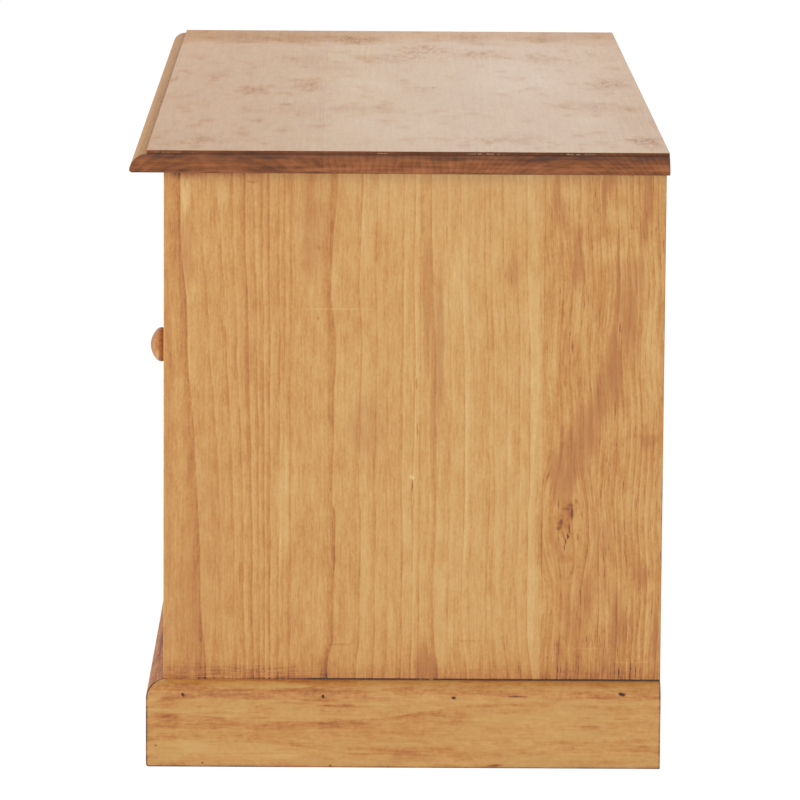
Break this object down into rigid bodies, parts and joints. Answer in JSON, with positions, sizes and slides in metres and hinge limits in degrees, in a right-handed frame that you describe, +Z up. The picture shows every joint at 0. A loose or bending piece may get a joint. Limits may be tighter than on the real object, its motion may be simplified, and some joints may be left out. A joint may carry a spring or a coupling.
{
  "type": "tv unit",
  "caption": "Low pine media cabinet: open shelved bay between two framed-door cupboards, moulded top, mitred plinth, turned knobs and a matched-board back with cable holes.",
  "frame": {"origin": "on the floor, under the centre of the top", "axes": "+X along the length, towards the end that is on the right of someone who faces the doors; -Y is the front with the doors; +Z up"},
  "size_m": [1.17, 0.45, 0.5245],
  "materials": {
    "pine": "waxed",
    "knob_pine": "waxed, turned",
    "back_pine": "waxed, matched boards",
    "steel": "plain steel",
    "catch_plastic": "brown",
    "magnet": "dark grey"
  },
  "bodies": {
    "cabinet": {"back_board_1": "back_pine", "back_board_2": "back_pine", "back_board_3": "back_pine", "back_board_4": "back_pine", "back_board_5": "back_pine", "back_board_6": "back_pine", "back_board_7": "back_pine", "back_board_8": "back_pine", "back_board_9": "back_pine", "catch_housings": "catch_plastic", "catch_magnets": "magnet", "centre_shelf": "pine", "divider_left": "pine", "divider_right": "pine", "floor_panel": "pine", "front_top_rail": "pine", "hinge_plates_left": "steel", "hinge_plates_right": "steel", "plinth_blocks": "pine", "plinth_front": "pine", "plinth_left": "pine", "plinth_rear_rail": "pine", "plinth_right": "pine", "rear_top_rail": "pine", "shelf_bearers": "pine", "shelf_left": "pine", "shelf_right": "pine", "side_left": "pine", "side_right": "pine", "top_battens": "pine", "top_panel": "pine"},
    "door_right": {"door_right_bottom_rail": "pine", "door_right_hinge_stile": "pine", "door_right_lock_stile": "pine", "door_right_panel": "pine", "door_right_top_rail": "pine", "hinge_flaps_right": "steel", "knob_right": "knob_pine", "strike_plate_right": "steel"},
    "door_left": {"door_left_bottom_rail": "pine", "door_left_hinge_stile": "pine", "door_left_lock_stile": "pine", "door_left_panel": "pine", "door_left_top_rail": "pine", "hinge_flaps_left": "steel", "knob_left": "knob_pine", "strike_plate_left": "steel"}
  },
  "joints": [
    {"name": "door_right_hinge", "type": "hinge", "parent": "cabinet", "child": "door_right", "pos_m": [0.538, -0.1941, 0.275], "axis": [0, 0, 1], "range_deg": [0, 105]},
    {"name": "door_left_hinge", "type": "hinge", "parent": "cabinet", "child": "door_left", "pos_m": [-0.538, -0.1941, 0.275], "axis": [0, 0, -1], "range_deg": [0, 105]}
  ]
}
